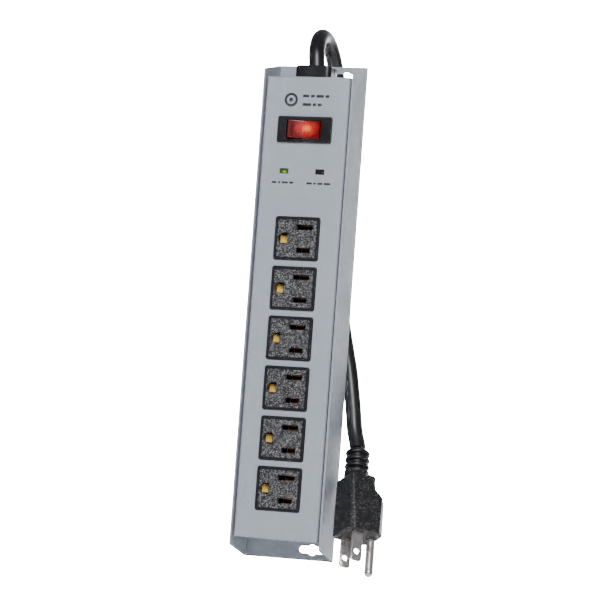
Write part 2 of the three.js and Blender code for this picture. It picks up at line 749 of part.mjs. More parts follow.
// Hank: two turns folded along the strip and drawn together at the middle.
function hankOutline() {
  const reach = HANK.foldRadius + CORD_RADIUS;
  const waist = HANK.waist / 2 + CORD_RADIUS;
  const { halfRun, x } = HANK;
  const shape = new THREE.Shape();
  shape.moveTo(x + waist, -8);
  shape.lineTo(x + waist, 8);
  shape.bezierCurveTo(x + waist, 34, x + reach, 50, x + reach, halfRun);
  shape.absarc(x, halfRun, reach, 0, Math.PI);
  shape.bezierCurveTo(x - reach, 50, x - waist, 34, x - waist, 8);
  shape.lineTo(x - waist, -8);
  shape.bezierCurveTo(x - waist, -34, x - reach, -50, x - reach, -halfRun);
  shape.absarc(x, -halfRun, reach, Math.PI, 2 * Math.PI);
  shape.bezierCurveTo(x + reach, -50, x + waist, -34, x + waist, -8);
  shape.closePath();
  return shape;
}

function hankTie() {
  const { x, waist, nearY, farY } = HANK;
  const ring = (halfWidth, margin, halfHeight) =>
    box([x - halfWidth, nearY - margin, -halfHeight], [x + halfWidth, farY + margin, halfHeight]);
  const inner = waist / 2 + CORD_RADIUS + GAP;
  return cut(
    ring(inner + TIE.sheet, GAP + TIE.sheet, TIE.halfHeight),
    ring(inner, GAP, TIE.halfHeight + 1),
  );
}

// Plug, drawn with its pin face at z = 0, its blades apart along x and its ground pin at +y.
function plugBody() {
  const { halfThickness, topHalfThickness, back, front, topFront, height, stepBottom, stepTop } = PLUG;
  const chamfer = 2.5;
  const shoulder = height - chamfer;
  const side = outline([
    [back, 0],
    [front, 0],
    [front, stepBottom],
    [topFront, stepTop],
    [topFront, height - 1],
    [topFront - 1, height],
    [back + chamfer, height],
    [back, shoulder],
  ]);
  const beyond = halfThickness + 8;
  const taper = (way) => {
    const shape = outline([
      [way * halfThickness, 0],
      [way * beyond, 0],
      [way * beyond, height + 1],
      [way * (topHalfThickness - chamfer), height],
      [way * topHalfThickness, shoulder],
    ]);
    return extrude(shape, 60).rotateX(Math.PI / 2).translate(0, 30, 0);
  };
  const edge = (way, y, size) => {
    const corner = box([-size, -size, -5], [size, size, 60]);
    return corner.rotateZ(Math.PI / 4).translate(way * halfThickness, y, 0);
  };
  const socket = (way) => {
    const x = (way * PIN_SPACING) / 2;
    const halfSheet = BLADE.sheet / 2 + GAP;
    const halfWidth = BLADE.width / 2 + GAP;
    return box([x - halfSheet, -halfWidth, -1], [x + halfSheet, halfWidth, BLADE.root + 0.5]);
  };
  const pinSocket = rod("z", GROUND_PIN.radius + GAP, 8, [0, GROUND_PIN_OFFSET, 2], 20);
  const tools = [pinSocket];
  for (const way of [-1, 1]) {
    tools.push(taper(way), edge(way, back, 2), edge(way, front, 3.4), socket(way));
  }
  const collar = rod("z", 7, 3.4, [0, PLUG_AXIS_Y, height + 1.2], 20);
  return cut(join(prismAlongX(side, -halfThickness, halfThickness), collar), ...tools);
}

// Ribbed strain relief between plug and cord.
const PLUG_RIBS = { count: 3, pitch: 4, core: 5.4, radius: 6.9, above: 12.4 };

function plugStrainRelief() {
  const { count, pitch, core, radius, above } = PLUG_RIBS;
  const start = PLUG.height + 3.2;
  const profile = [[0, start], [core, start]];
  for (let rib = 0; rib < count; rib += 1) {
    const z = start + 0.6 + rib * pitch;
    profile.push([core, z], [radius, z + 0.8], [radius, z + 2.2], [core, z + 3]);
  }
  profile.push([core, start + above], [0, start + above]);
  const lathe = new THREE.LatheGeometry(profile.map(([r, z]) => new THREE.Vector2(r, z)), 24);
  return lathe.rotateX(Math.PI / 2).translate(0, PLUG_AXIS_Y, 0);
}

function plugBlade(x) {
  const { width, sheet, length, taper, root, hole, holeFromFace } = BLADE;
  const half = width / 2;
  const shape = outline([
    [-half, root],
    [-half, -length + taper],
    [-half + taper, -length],
    [half - taper, -length],
    [half, -length + taper],
    [half, root],
  ]);
  const blade = prismAlongX(shape, x - sheet / 2, x + sheet / 2);
  return cut(blade, rod("x", hole, 4, [x, 0, -holeFromFace], 16));
}

function plugGroundPin() {
  const { radius, length, root } = GROUND_PIN;
  const shank = length - radius;
  return join(
    rod("z", radius, shank + root, [0, GROUND_PIN_OFFSET, (root - shank) / 2], 20),
    new THREE.SphereGeometry(radius, 20, 10).translate(0, GROUND_PIN_OFFSET, -shank),
  );
}

function addPlug() {
  const plug = new THREE.Group();
  const z = PLUG_CORD_WAY.clone().normalize();
  const x = PLUG_GROUND_WAY.clone().cross(z).normalize();
  const y = z.clone().cross(x);
  plug.setRotationFromMatrix(new THREE.Matrix4().makeBasis(x, y, z));
  plug.position.copy(PLUG_PLACE);
  addPiece("plug_body", plugBody(), blackPlastic, plug);
  addPiece("plug_strain_relief", plugStrainRelief(), blackRubber, plug);
  addPiece("plug_blade_neutral", plugBlade(PIN_SPACING / 2), nickel, plug);
  addPiece("plug_blade_hot", plugBlade(-PIN_SPACING / 2), nickel, plug);
  addPiece("plug_ground_pin", plugGroundPin(), nickel, plug);
  strip.add(plug);
}

// Assembly
addPiece("base_channel", baseChannel(), paint);
addPiece("front_cover", frontCover(), paint);
rivetPlaces.forEach((place, i) => addPiece(`cover_rivet_${i + 1}`, coverRivet(place), steel));

for (let i = 0; i < OUTLET_COUNT; i += 1) {
  addPiece(`outlet_block_${i + 1}`, outletBlock(outletZ(i)), blackPlastic);
  addPiece(`ground_contact_${i + 1}`, groundContact(outletZ(i)), brass);
}
addPiece("bus_hot", busBar(HOT_BUS_X, (z) => bladeJaw(HOT_BUS_X, z - SLOT_Z)), brass);
addPiece("bus_neutral", busBar(NEUTRAL_BUS_X, (z) => bladeJaw(NEUTRAL_BUS_X, z + SLOT_Z)), brass);
addPiece("bus_ground", busBar(GROUND_HOLE.x, () => []), brass);
addPiece("bus_carrier", busCarrier(), whiteNylon);
addPiece("insulation_sheet", box([-22, -2.4, -118], [22, -1.9, 88]), fishPaper);

addPiece("switch_housing", switchHousing(), blackPlastic);
addRocker();
const pivot = [ROCKER.x, ROCKER.pivotY, SWITCH.z];
addPiece("switch_pivot_pin", rod("z", PIVOT_RADIUS, SWITCH_BODY.height - 0.4, pivot, 16), steel);
addPiece("switch_lamp", switchLamp(), clearGlass);
terminalPlaces.forEach((x, i) => addPiece(`switch_terminal_${i + 1}`, switchTerminal(x), brass));

addPiece("indicator_lens_green", indicatorLens(LENS.greenX), greenLens);
addPiece("indicator_lens_dark", indicatorLens(LENS.darkX), smokedLens);
addPiece("indicator_led_1", lampDie(LENS.greenX), clearGlass);
addPiece("indicator_led_2", lampDie(LENS.darkX), clearGlass);
addPiece("surge_board", surgeBoard(), boardGreen);
varistorPlaces.forEach((x, i) => addPiece(`varistor_${i + 1}`, varistor(x), blueCeramic));
addPiece("thermal_fuse", thermalFuse(), steel);

addPiece("strain_relief_front", strainReliefHalf(-1), blackPlastic);
addPiece("strain_relief_rear", strainReliefHalf(1), blackPlastic);
addPiece("strain_relief_collar", strainReliefCollar(), blackPlastic);
for (const [name, { points, look }] of Object.entries(leads)) {
  addPiece(name, cable(points, LEAD_RADIUS, 12, 8), look);
}
addPiece("ground_screw", groundScrew(), steel);
addPiece("ground_ring", groundRing(), steel);
addPiece("ground_strap", groundStrap(), brass);

addPiece("cord_upper", cable(upperCordRoute, CORD_RADIUS, 26), blackRubber);
addPiece("cord_hank", prismAlongY(hankOutline(), HANK.nearY, HANK.farY, 10), blackRubber);
addPiece("hank_tie", hankTie(), blackPlastic);
addPiece("cord_tail", cable(tailCordRoute, CORD_RADIUS, 14), blackRubber);
addPlug();

export default strip;
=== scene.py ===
import math

import bmesh
import bpy
from mathutils import Matrix, Vector


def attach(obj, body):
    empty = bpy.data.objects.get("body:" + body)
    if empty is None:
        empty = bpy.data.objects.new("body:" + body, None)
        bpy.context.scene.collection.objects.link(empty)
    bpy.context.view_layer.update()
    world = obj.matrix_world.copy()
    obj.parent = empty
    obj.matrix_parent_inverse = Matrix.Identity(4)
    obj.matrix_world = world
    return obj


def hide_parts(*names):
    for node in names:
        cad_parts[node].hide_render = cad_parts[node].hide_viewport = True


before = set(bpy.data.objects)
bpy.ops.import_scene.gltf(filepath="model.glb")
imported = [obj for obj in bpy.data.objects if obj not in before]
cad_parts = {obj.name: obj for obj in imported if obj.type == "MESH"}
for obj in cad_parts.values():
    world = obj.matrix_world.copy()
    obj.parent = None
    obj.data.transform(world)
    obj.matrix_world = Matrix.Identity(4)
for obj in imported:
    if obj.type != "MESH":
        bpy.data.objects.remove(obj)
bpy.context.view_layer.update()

MM = 0.001
WELD = 0.002  # points closer than this become one
LAP = 0.05  # how far a face plate runs into the block behind it
STRIP = "strip"
ROCKER = "rocker"

CORD_DIAMETER = 9.0
CORD_RADIUS = CORD_DIAMETER / 2

OUTLETS = 6
OUTLET_PITCH = 27.7
FIRST_OUTLET_Z = 37.8
OUTLET_FACE = (25.5, 24.0)
OUTLET_CORNER = 1.2
OUTLET_BORDER = 1.4
OUTLET_PLATE = 1.95
OUTLET_EDGE = 0.3
COVER_FRONT = -28.4
OUTLET_FRONT = -29.1
SLOT_X = 4.1
SLOT_Z = 6.35
SLOT_CORNER = 0.4
NEUTRAL_SLOT = (9.4, 2.8)
HOT_SLOT = (8, 2.8)
GROUND_X = -7.8
GROUND_RADIUS = 3.1
GROUND_DEPTH = 5.6  # from the round side to the flat side

SWITCH_X = 0.2
SWITCH_Z = 98.6
BEZEL = (31.4, 14.6)
BEZEL_PLATE = 1.3
BEZEL_FRONT = -30.0
WINDOW = (20, 10.3)
PIVOT = (-0.4, -27.5, SWITCH_Z)
ROCKER_HALF_LENGTH = 9.2
ROCKER_HEIGHT = 9.7
ROCKER_FLUSH = 2.7
ROCKER_SKIRT = math.degrees(0.22)  # how far its round ends run on behind the pin
ROCKER_TILT = math.radians(10)
ROCKER_BORE = 1.5

PRINT = 0.06
MARK = (-9.1, 115.3)

PLUG_PLACE = Vector((41.2, -20, -122.6))
PLUG_CORD_WAY = Vector((-0.106, 0.379, 0.919)).normalized()
PLUG_GROUND_WAY = Vector((0.733, 0.654, -0.185))
PLUG_AXIS_Y = 0.2
PLUG_TOP = 38.2
BLADE_SPACING = 12.7
BLADE = {"width": 6.4, "sheet": 1.5, "length": 17.2, "corner": 1.6, "root": 5.5}
BLADE_HOLE = {"radius": 1.6, "from_face": 11.7}
PIN = {"radius": 2.47, "root": 5.2, "shank": 19.3, "length": 21.8, "offset": 11.9}


def plug_frame():
    """Pin face at z = 0, blades apart along x, ground pin towards +y, cord up along +z."""
    across = PLUG_GROUND_WAY.cross(PLUG_CORD_WAY).normalized()
    back = PLUG_CORD_WAY.cross(across)
    turn = Matrix((across, back, PLUG_CORD_WAY)).transposed().to_4x4()
    return Matrix.Translation(PLUG_PLACE * MM) @ turn


# ---------------------------------------------------------------- camera

def add_camera():
    """A long lens, a little to the right and just below the middle of the strip."""
    place = Vector((0.42092, -1.38101, -0.09940))
    target = Vector((-0.0043, 0.0, 0.00611))
    roll = math.radians(4.18)
    data = bpy.data.cameras.new("camera")
    data.lens = 154.39
    data.sensor_width = 36.0
    data.clip_end = 30.0
    camera = bpy.data.objects.new("camera", data)
    aim = (target - place).to_track_quat("-Z", "Y").to_matrix()
    turned = (aim @ Matrix.Rotation(roll, 3, "Z")).to_4x4()
    camera.matrix_world = Matrix.Translation(place) @ turned
    bpy.context.scene.collection.objects.link(camera)
    bpy.context.scene.camera = camera


# ---------------------------------------------------------------- materials

class Look:
    """A principled material built from small procedural steps in object space."""

    def __init__(self, name, color, roughness, metallic=0.0):
        self.material = bpy.data.materials.new(name)
        self.material.use_nodes = True
        self.tree = self.material.node_tree
        self.shader = self.tree.nodes["Principled BSDF"]
        self.shader.inputs["Base Color"].default_value = (*color, 1.0)
        self.shader.inputs["Roughness"].default_value = roughness
        self.shader.inputs["Metallic"].default_value = metallic
        self.place = self.tree.nodes.new("ShaderNodeTexCoord").outputs["Object"]
        self.height = None

    def link(self, output, target):
        self.tree.links.new(output, target)

    def scaled_place(self, scales):
        mapping = self.tree.nodes.new("ShaderNodeMapping")
        mapping.inputs["Scale"].default_value = scales
        self.link(self.place, mapping.inputs["Vector"])
        return mapping.outputs["Vector"]

    def noise(self, feature, detail=2.0, stretch=(1, 1, 1)):
        """Noise whose blobs are about feature millimetres across, longer where stretch < 1."""
        noise = self.tree.nodes.new("ShaderNodeTexNoise")
        noise.inputs["Scale"].default_value = 1.0
        noise.inputs["Detail"].default_value = detail
        self.link(self.scaled_place([s / (feature * MM) for s in stretch]), noise.inputs["Vector"])
        return noise.outputs["Fac"]

    def cell_colors(self, feature):
        """A random colour for each cell, about feature millimetres across."""
        cells = self.tree.nodes.new("ShaderNodeTexVoronoi")
        cells.inputs["Scale"].default_value = 1.0
        self.link(self.scaled_place((1 / (feature * MM),) * 3), cells.inputs["Vector"])
        return cells.outputs["Color"]

    def math(self, operation, first, *others):
        made = self.tree.nodes.new("ShaderNodeMath")
        made.operation = operation
        for target, value in zip(made.inputs, (first, *others)):
            if isinstance(value, (int, float)):
                target.default_value = value
            else:
                self.link(value, target)
        return made.outputs["Value"]

    def remap(self, value, low, high, to_low=0.0, to_high=1.0):
        made = self.tree.nodes.new("ShaderNodeMapRange")
        ends = {"From Min": low, "From Max": high, "To Min": to_low, "To Max": to_high}
        for name, number in ends.items():
            made.inputs[name].default_value = number
        self.link(value, made.inputs["Value"])
        return made.outputs["Result"]

    def blend(self, factor, first, second):
        mix = self.tree.nodes.new("ShaderNodeMix")
        mix.data_type = "RGBA"
        sockets = [s for s in mix.inputs if s.enabled]
        self.link(factor, sockets[0])
        for target, value in zip(sockets[1:], (first, second)):
            if isinstance(value, tuple):
                target.default_value = (*value, 1.0)
            else:
                self.link(value, target)
        return next(s for s in mix.outputs if s.enabled)

    def color_between(self, factor, first, second):
        self.link(self.blend(factor, first, second), self.shader.inputs["Base Color"])

    def rough_from(self, value, low, high, to_low, to_high):
        self.link(self.remap(value, low, high, to_low, to_high), self.shader.inputs["Roughness"])

    def bump(self, value, depth, strength=1.0):
        """Adds relief of about depth millimetres; several calls stack."""
        made = self.tree.nodes.new("ShaderNodeBump")
        made.inputs["Strength"].default_value = strength
        made.inputs["Distance"].default_value = depth * MM
        self.link(value, made.inputs["Height"])
        if self.height is not None:
            self.link(self.height, made.inputs["Normal"])
        self.height = made.outputs["Normal"]
        self.link(self.height, self.shader.inputs["Normal"])

    def coat(self, weight, roughness):
        self.shader.inputs["Coat Weight"].default_value = weight
        self.shader.inputs["Coat Roughness"].default_value = roughness

    def gleam(self, level):
        self.shader.inputs["Specular IOR Level"].default_value = level


def paint_look():
    """Satin powder coat: fine orange peel, faint cloudiness and a soft sheen."""
    look = Look("paint", (0.36, 0.40, 0.44), 0.4)
    cloud = look.noise(45, detail=3)
    look.color_between(look.remap(cloud, 0.3, 0.7), (0.352, 0.388, 0.445), (0.382, 0.415, 0.468))
    look.rough_from(look.noise(20, detail=4), 0.3, 0.7, 0.50, 0.60)
    look.bump(look.noise(1.1), 0.06, 0.3)
    look.bump(look.noise(0.3, detail=1), 0.01, 0.2)
    look.gleam(0.28)
    return look.material


def speckle_with_painted_glints(look, feature, dark, light, share):
    """Random pale grains over a dark ground, partly the plastic's own grain and partly painted
    glints; share of them stand out.
    """
    grain = look.cell_colors(feature)
    separate = look.tree.nodes.new("ShaderNodeSeparateColor")
    look.link(grain, separate.inputs["Color"])
    chosen = look.remap(separate.outputs["Red"], 1 - share, 1.0)
    fine = look.remap(look.noise(feature * 0.8, detail=3), 0.35, 0.7)
    return look.blend(look.math("MULTIPLY", chosen, fine), dark, light)


def outlet_look():
    """Coarse spark texture inside a smooth border, repeated at every outlet; the pale grains in it
    are painted glints of the texture.
    """
    dark, border = (0.009, 0.009, 0.011), (0.010, 0.011, 0.015)
    look = Look("outlet_black", dark, 0.5)
    axes = look.tree.nodes.new("ShaderNodeSeparateXYZ")
    look.link(look.place, axes.inputs["Vector"])
    half = OUTLET_PITCH * MM / 2
    from_first = look.math("SUBTRACT", axes.outputs["Z"], FIRST_OUTLET_Z * MM)
    local_z = look.math("WRAP", from_first, half, -half)
    margins = []
    for size, along in zip(OUTLET_FACE, (axes.outputs["X"], local_z)):
        reach = (size / 2 - OUTLET_BORDER) * MM
        margins.append(look.math("SUBTRACT", reach, look.math("ABSOLUTE", along)))
    field = look.remap(look.math("MINIMUM", *margins), 0.0, 0.25 * MM)
    # Pale grains: painted glints off the spark texture, laid into the base colour.
    grains = speckle_with_painted_glints(look, 0.52, dark, (0.50, 0.50, 0.51), 0.55)
    look.color_between(field, border, grains)
    look.link(look.remap(field, 0, 1, 0.3, 0.6), look.shader.inputs["Roughness"])
    look.bump(field, 0.25, 1.0)
    texture = look.math("MULTIPLY", field, look.noise(0.6, detail=3))
    look.bump(texture, 0.22, 0.8)
    return look.material


def moulded_black_look(name, roughness, light, share):
    """Lightly grained black plastic with a few paler specks, which are painted glints of the
    grain, and faint flow marks.
    """
    dark = (0.010, 0.010, 0.011)
    look = Look(name, dark, roughness)
    # Pale specks: painted glints on the grained plastic, laid into the base colour.
    grains = speckle_with_painted_glints(look, 0.7, dark, light, share)
    look.link(grains, look.shader.inputs["Base Color"])
    flow = look.noise(12, detail=3, stretch=(1, 1, 0.4))
    look.rough_from(flow, 0.3, 0.7, roughness - 0.06, roughness + 0.08)
    look.bump(look.noise(0.7, detail=3), 0.07, 0.5)
    return look.material


def smooth_black_look(name, roughness):
    """Polished mould finish with a trace of flow marks."""
    look = Look(name, (0.010, 0.010, 0.011), roughness)
    flow = look.noise(12, detail=3, stretch=(1, 1, 0.4))
    look.color_between(look.remap(flow, 0.3, 0.7), (0.008, 0.008, 0.009), (0.014, 0.014, 0.016))
    look.rough_from(flow, 0.3, 0.7, roughness - 0.05, roughness + 0.07)
    look.bump(look.noise(0.7), 0.02, 0.3)
    return look.material


def cord_look():
    """Satin black PVC jacket with faint scuffs."""
    look = Look("cord_jacket", (0.010, 0.010, 0.012), 0.34)
    haze = look.noise(9, detail=4)
    look.color_between(look.remap(haze, 0.3, 0.7), (0.008, 0.008, 0.010), (0.015, 0.015, 0.017))
    look.rough_from(haze, 0.3, 0.7, 0.27, 0.42)
    look.bump(look.noise(1.4, detail=3), 0.08, 0.4)
    return look.material


def metal_look(name, low, high, roughness, feature, metallic=1.0):
    """Plated or stamped metal: two close tones, fine drawing marks."""
    look = Look(name, low, roughness, metallic)
    tone = look.noise(feature, detail=3)
    look.color_between(look.remap(tone, 0.3, 0.7), low, high)
    look.rough_from(tone, 0.3, 0.7, roughness - 0.05, roughness + 0.10)
    look.bump(look.noise(feature / 5, stretch=(1, 1, 0.2)), 0.015, 0.4)
    return look.material


def plain_look(name, low, high, roughness, feature=4.0):
    """Small inner pieces: two close tones, slight relief."""
    look = Look(name, low, roughness)
    tone = look.noise(feature, detail=3)
    look.color_between(look.remap(tone, 0.3, 0.7), low, high)
    look.rough_from(tone, 0.3, 0.7, roughness - 0.06, roughness + 0.08)
    look.bump(look.noise(feature / 4), 0.03, 0.4)
    return look.material


def lit_lens_look(name, deep, middle, hot, centre, spread, strength):
    """A translucent lens with a lamp glowing through it around centre."""
    look = Look(name, deep, 0.16)
    away = look.tree.nodes.new("ShaderNodeVectorMath")
    away.operation = "SUBTRACT"
    away.inputs[1].default_value = [c * MM for c in centre]
    look.link(look.place, away.inputs[0])
    scaled = look.tree.nodes.new("ShaderNodeVectorMath")
    scaled.operation = "MULTIPLY"
    scaled.inputs[1].default_value = [1 / (s * MM) for s in spread]
    look.link(away.outputs["Vector"], scaled.inputs[0])
    distance = look.tree.nodes.new("ShaderNodeVectorMath")
    distance.operation = "LENGTH"
    look.link(scaled.outputs["Vector"], distance.inputs[0])
    flutes = look.noise(1.1, stretch=(1, 0.3, 0.25))
    wavy = look.math("MULTIPLY_ADD", flutes, 0.45, distance.outputs["Value"])
    glow = look.remap(wavy, 0.2, 1.35, 1.0, 0.0)
    ramp = look.tree.nodes.new("ShaderNodeValToRGB")
    ramp.color_ramp.elements[0].color = (*deep, 1)
    ramp.color_ramp.elements[1].color = (*hot, 1)
    ramp.color_ramp.elements.new(0.55).color = (*middle, 1)
    look.link(glow, ramp.inputs["Fac"])
    look.link(ramp.outputs["Color"], look.shader.inputs["Emission Color"])
    look.color_between(glow, deep, middle)
    look.shader.inputs["Emission Strength"].default_value = strength
    look.bump(flutes, 0.08, 0.4)
    look.coat(0.5, 0.08)
    return look.material


def glass_look():
    look = Look("lamp_glass", (0.9, 0.82, 0.74), 0.06)
    look.shader.inputs["Transmission Weight"].default_value = 0.7
    look.bump(look.noise(2), 0.02, 0.3)
    return look.material


# ---------------------------------------------------------------- mesh work

def add_object(name, data):
    made = bpy.data.objects.new(name, data)
    bpy.context.scene.collection.objects.link(made)
    return made


def evaluated_mesh(obj):
    bpy.context.view_layer.update()
    graph = bpy.context.evaluated_depsgraph_get()
    return bpy.data.meshes.new_from_object(obj.evaluated_get(graph))


def settle(obj):
    """Applies an object's modifiers and leaves a plain mesh."""
    done = evaluated_mesh(obj)
    obj.modifiers.clear()
    obj.data = done


def shade_smooth(mesh):
    mesh.polygons.foreach_set("use_smooth", [True] * len(mesh.polygons))


def merged(mesh):
    shell = bmesh.new()
    shell.from_mesh(mesh)
    bmesh.ops.remove_doubles(shell, verts=shell.verts, dist=WELD * MM)
    shell.to_mesh(mesh)
    shell.free()


def cad_mesh(node):
    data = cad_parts[node].data.copy()
    merged(data)
    return data


def joined(*meshes):
    shell = bmesh.new()
    for mesh in meshes:
        shell.from_mesh(mesh)
    data = bpy.data.meshes.new("joined")
    shell.to_mesh(data)
    shell.free()
    return data


def outline_plate(outlines, thickness, edge):
    """A flat plate in X and Y with rounded edges; outlines after the first are holes."""
    data = bpy.data.curves.new("outline", "CURVE")
    data.dimensions = "2D"
    data.fill_mode = "BOTH"
    data.extrude = (thickness / 2 - edge) * MM
    data.bevel_depth = edge * MM
    data.bevel_resolution = 2
    data.offset = -edge * MM
    for points in outlines:
        spline = data.splines.new("POLY")
        spline.points.add(len(points) - 1)
        for point, (x, y) in zip(spline.points, points):
            point.co = (x * MM, y * MM, 0, 1)
        spline.use_cyclic_u = True
    holder = add_object("outline", data)
    mesh = evaluated_mesh(holder)
    bpy.data.objects.remove(holder)
    merged(mesh)
    return mesh


def arc(x, y, radius, start, end, steps=6):
    for i in range(steps + 1):
        angle = math.radians(start + (end - start) * i / steps)
        yield (x + radius * math.cos(angle), y + radius * math.sin(angle))


def circle(radius, x=0.0, y=0.0, points=24):
    return list(arc(x, y, radius, 0, 360 - 360 / points, points - 1))


def rounded(width, height, corner, x=0.0, y=0.0):
    right, top = x + width / 2 - corner, y + height / 2 - corner
    left, bottom = x - width / 2 + corner, y - height / 2 + corner
    return [
        *arc(right, top, corner, 0, 90),
        *arc(left, top, corner, 90, 180),
        *arc(left, bottom, corner, 180, 270),
        *arc(right, bottom, corner, 270, 360),
    ]


FACING_FRONT = Matrix(((1, 0, 0, 0), (0, 0, -1, 0), (0, 1, 0, 0), (0, 0, 0, 1)))


def facing_front(mesh, front, thickness, z=0.0):
    """Stands a plate up so that its face looks to the front at y = front."""
    mesh.transform(Matrix.Translation((0, (front + thickness / 2) * MM, z * MM)) @ FACING_FRONT)
    return mesh


def revolved(profile):
    """A closed turned body round Z from (radius, height) pairs that start and end on the axis."""
    segments = 48
    shell = bmesh.new()
    rings = []
    for radius, height in profile[1:-1]:
        ring = []
        for i in range(segments):
            a = 2 * math.pi * i / segments
            place = Vector((radius * math.cos(a), radius * math.sin(a), height))
            ring.append(shell.verts.new(place * MM))
        rings.append(ring)
    for low, high in zip(rings, rings[1:]):
        for i in range(segments):
            j = (i + 1) % segments
            shell.faces.new((low[i], low[j], high[j], high[i]))
    shell.faces.new(rings[0][::-1])
    shell.faces.new(rings[-1])
    bmesh.ops.recalc_face_normals(shell, faces=shell.faces)
    data = bpy.data.meshes.new("turned")
    shell.to_mesh(data)
    shell.free()
    return data


def piece(name, mesh, look, replaces=(), body=STRIP, sharp=40):
    """Adds a finished mesh: flats stay flat, rounded edges shade softly."""
    made = add_object(name, mesh)
    mesh.materials.clear()
    mesh.materials.append(look)
    shade_smooth(mesh)
    mesh.set_sharp_from_angle(angle=math.radians(sharp))
    weighted = made.modifiers.new("weighted", "WEIGHTED_NORMAL")
    weighted.keep_sharp = True
    settle(made)
    if replaces:
        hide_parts(*replaces)
    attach(made, body)
    return made


def moulded(node, voxel, rounds, look):
    """A CAD node's own shape with the softly rounded edges of a moulding."""
    made = add_object(node + "_moulding", cad_mesh(node))
    made.data.materials.clear()
    made.data.materials.append(look)
    remesh = made.modifiers.new("remesh", "REMESH")
    remesh.mode = "VOXEL"
    remesh.voxel_size = voxel * MM
    smooth = made.modifiers.new("smooth", "SMOOTH")
    smooth.factor = 0.5
    smooth.iterations = rounds
    settle(made)
    shade_smooth(made.data)
    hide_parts(node)
    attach(made, STRIP)
    return made


# ---------------------------------------------------------------- cord

HANK_X = -8.5
FOLD_RADIUS = 17.05
HALF_RUN = 86.0
WAIST = 4.65
TURNS = 2
FIRST_Y = 27.1
TURN_PITCH = 9.3
RUN_HEIGHTS = (8, 34, 50, HALF_RUN)  # a Bezier curve's, from the waist to the fold

UPPER_ROUTE = [
    (0, -14.2, 114),
    (0, -14.2, 125),
    (0, -14.2, 136.2),
    (-1.2, -12.6, 145.8),
    (-2.1, -6.2, 153.6),
    (-2.2, 3.2, 156.6),
    (-1.7, 13, 153.8),
    (-0.6, 20.6, 146),
    (0.8, 24.8, 135.4),
    (3, 26.4, 122.4),
    (6.4, 27, 109.6),
    (8.3, 27.1, 98),
]
TAIL_ROUTE = [
    (8.9, 8.5, 72),
    (9.6, 8.6, 52),
    (11.6, 9, 31),
    (15.2, 9.9, 10),
    (19.4, 10.3, -9),
    (22.1, 10, -20),
    (24.9, 9.5, -31.2),
    (27.3, 8.3, -42.4),
    (29.6, 6.4, -53.6),
    (31.8, 4, -64.2),
    (33.5, 2.4, -69.3),
    (34.9, 0.9, -72.8),
    (35.7, -0.3, -75.4),
]


def run_spread(z):
    """How far a run of the hank stands from its middle line, at height z."""
    a, b, c, d = RUN_HEIGHTS
    low, high = 0.0, 1.0
    for _ in range(30):
        t = (low + high) / 2
        height = a * (1 - t) ** 3 + 3 * b * (1 - t) ** 2 * t + 3 * c * (1 - t) * t * t + d * t**3
        low, high = (t, high) if height < abs(z) else (low, t)
    return WAIST + (FOLD_RADIUS - WAIST) * (3 * (1 - t) * t * t + t**3)


def hank_route():
    """Down the right run, round the lower fold, up the left run and over the top."""
    steps = 9
    heights = [HALF_RUN - 2 * HALF_RUN * i / steps for i in range(steps + 1)]
    folds = [math.pi * i / 6 for i in range(1, 6)]
    turn = [(run_spread(z), z) for z in heights]
    turn += [(FOLD_RADIUS * math.cos(a), -HALF_RUN - FOLD_RADIUS * math.sin(a)) for a in folds]
    turn += [(-run_spread(z), z) for z in reversed(heights)]
    turn += [(-FOLD_RADIUS * math.cos(a), HALF_RUN + FOLD_RADIUS * math.sin(a)) for a in folds]
    lengths = [0.0]
    for (x0, z0), (x1, z1) in zip(turn, turn[1:] + turn[:1]):
        lengths.append(lengths[-1] + math.hypot(x1 - x0, z1 - z0))
    route = []
    for number in range(TURNS):
        for (x, z), along in zip(turn, lengths):
            y = FIRST_Y - TURN_PITCH * (number + along / lengths[-1])
            route.append((HANK_X + x, y, z))
    route.append((HANK_X + FOLD_RADIUS, FIRST_Y - TURN_PITCH * TURNS, HALF_RUN))
    return route


def smooth_line(points, step=1.6):
    """A centripetal Catmull-Rom curve through the points, sampled about every step."""
    points = [Vector(p) for p in points]
    ends = [points[0] * 2 - points[1]] + points + [points[-1] * 2 - points[-2]]
    line = []
    for a, b, c, d in zip(ends, ends[1:], ends[2:], ends[3:]):
        t1 = (b - a).length ** 0.5
        t2 = t1 + (c - b).length ** 0.5
        t3 = t2 + (d - c).length ** 0.5
        count = max(2, round((c - b).length / step))
        for i in range(count):
            t = t1 + (t2 - t1) * i / count
            ab = a + (b - a) * (t / t1)
            bc = b + (c - b) * ((t - t1) / (t2 - t1))
            cd = c + (d - c) * ((t - t2) / (t3 - t2))
            abc = ab + (bc - ab) * (t / t2)
            bcd = bc + (cd - bc) * ((t - t1) / (t3 - t1))
            line.append(abc + (bcd - abc) * ((t - t1) / (t2 - t1)))
    line.append(points[-1])
    return line


def add_cord(look):
    line = smooth_line(UPPER_ROUTE + hank_route() + TAIL_ROUTE)
    data = bpy.data.curves.new("supply_cord", "CURVE")
    data.dimensions = "3D"
    data.bevel_depth = CORD_RADIUS * MM
    data.bevel_resolution = 8
    data.use_fill_caps = True
    spline = data.splines.new("POLY")
    spline.points.add(len(line) - 1)
    for point, place in zip(spline.points, line):
        point.co = (*(place * MM), 1.0)
    spline.use_smooth = True
    data.materials.append(look)
    cord = add_object("supply_cord", data)
    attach(cord, STRIP)
    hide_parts("cord_upper", "cord_hank", "cord_tail")
    return cord


def hull_of(points):
    """The convex outline round flat points, in turning order."""
    points = sorted(points)

    def half(run):
        chain = []
        for p in run:
            while len(chain) > 1:
                (ax, ay), (bx, by) = chain[-2:]
                if (bx - ax) * (p[1] - ay) - (by - ay) * (p[0] - ax) > 0:
                    break
                chain.pop()
            chain.append(p)
        return chain[:-1]

    return half(points) + half(points[::-1])


